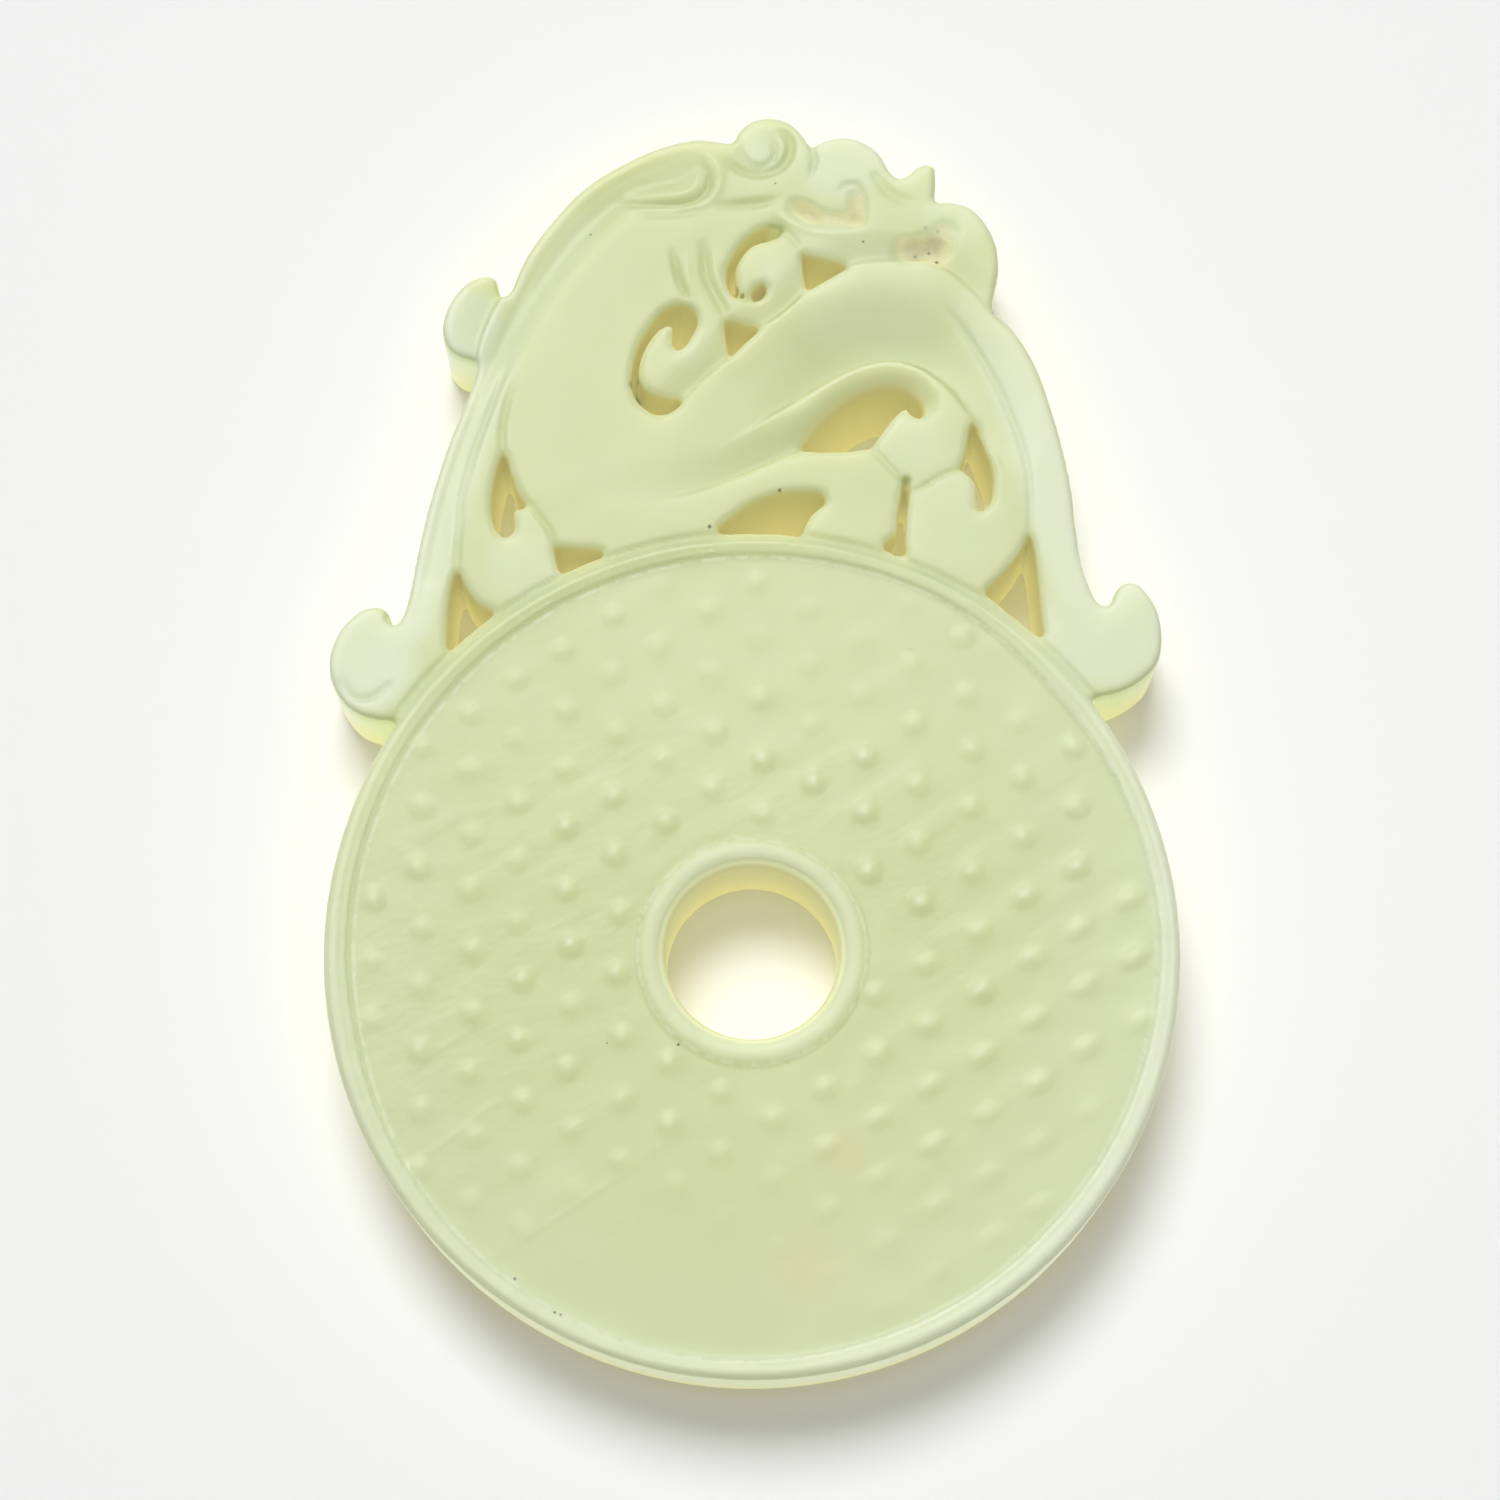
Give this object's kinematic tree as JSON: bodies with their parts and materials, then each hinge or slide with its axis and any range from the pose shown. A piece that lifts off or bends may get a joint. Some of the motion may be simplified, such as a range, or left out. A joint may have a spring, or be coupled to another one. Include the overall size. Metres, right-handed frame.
{
  "type": "jade pendant",
  "caption": "Flat carved stone pendant: a ring disc with a central bore and low grains, under an openwork crest in which a young dragon coils.",
  "frame": {"origin": "axis of the bore, at the plane of the back face", "axes": "+Z out of the carved face along the bore, +Y from the bore to the top of the crest"},
  "size_m": [0.052, 0.0804, 0.0074],
  "materials": {
    "jade": "polished, waxy, translucent"
  },
  "bodies": {
    "root": {"jade_pendant": "jade"}
  },
  "joints": []
}
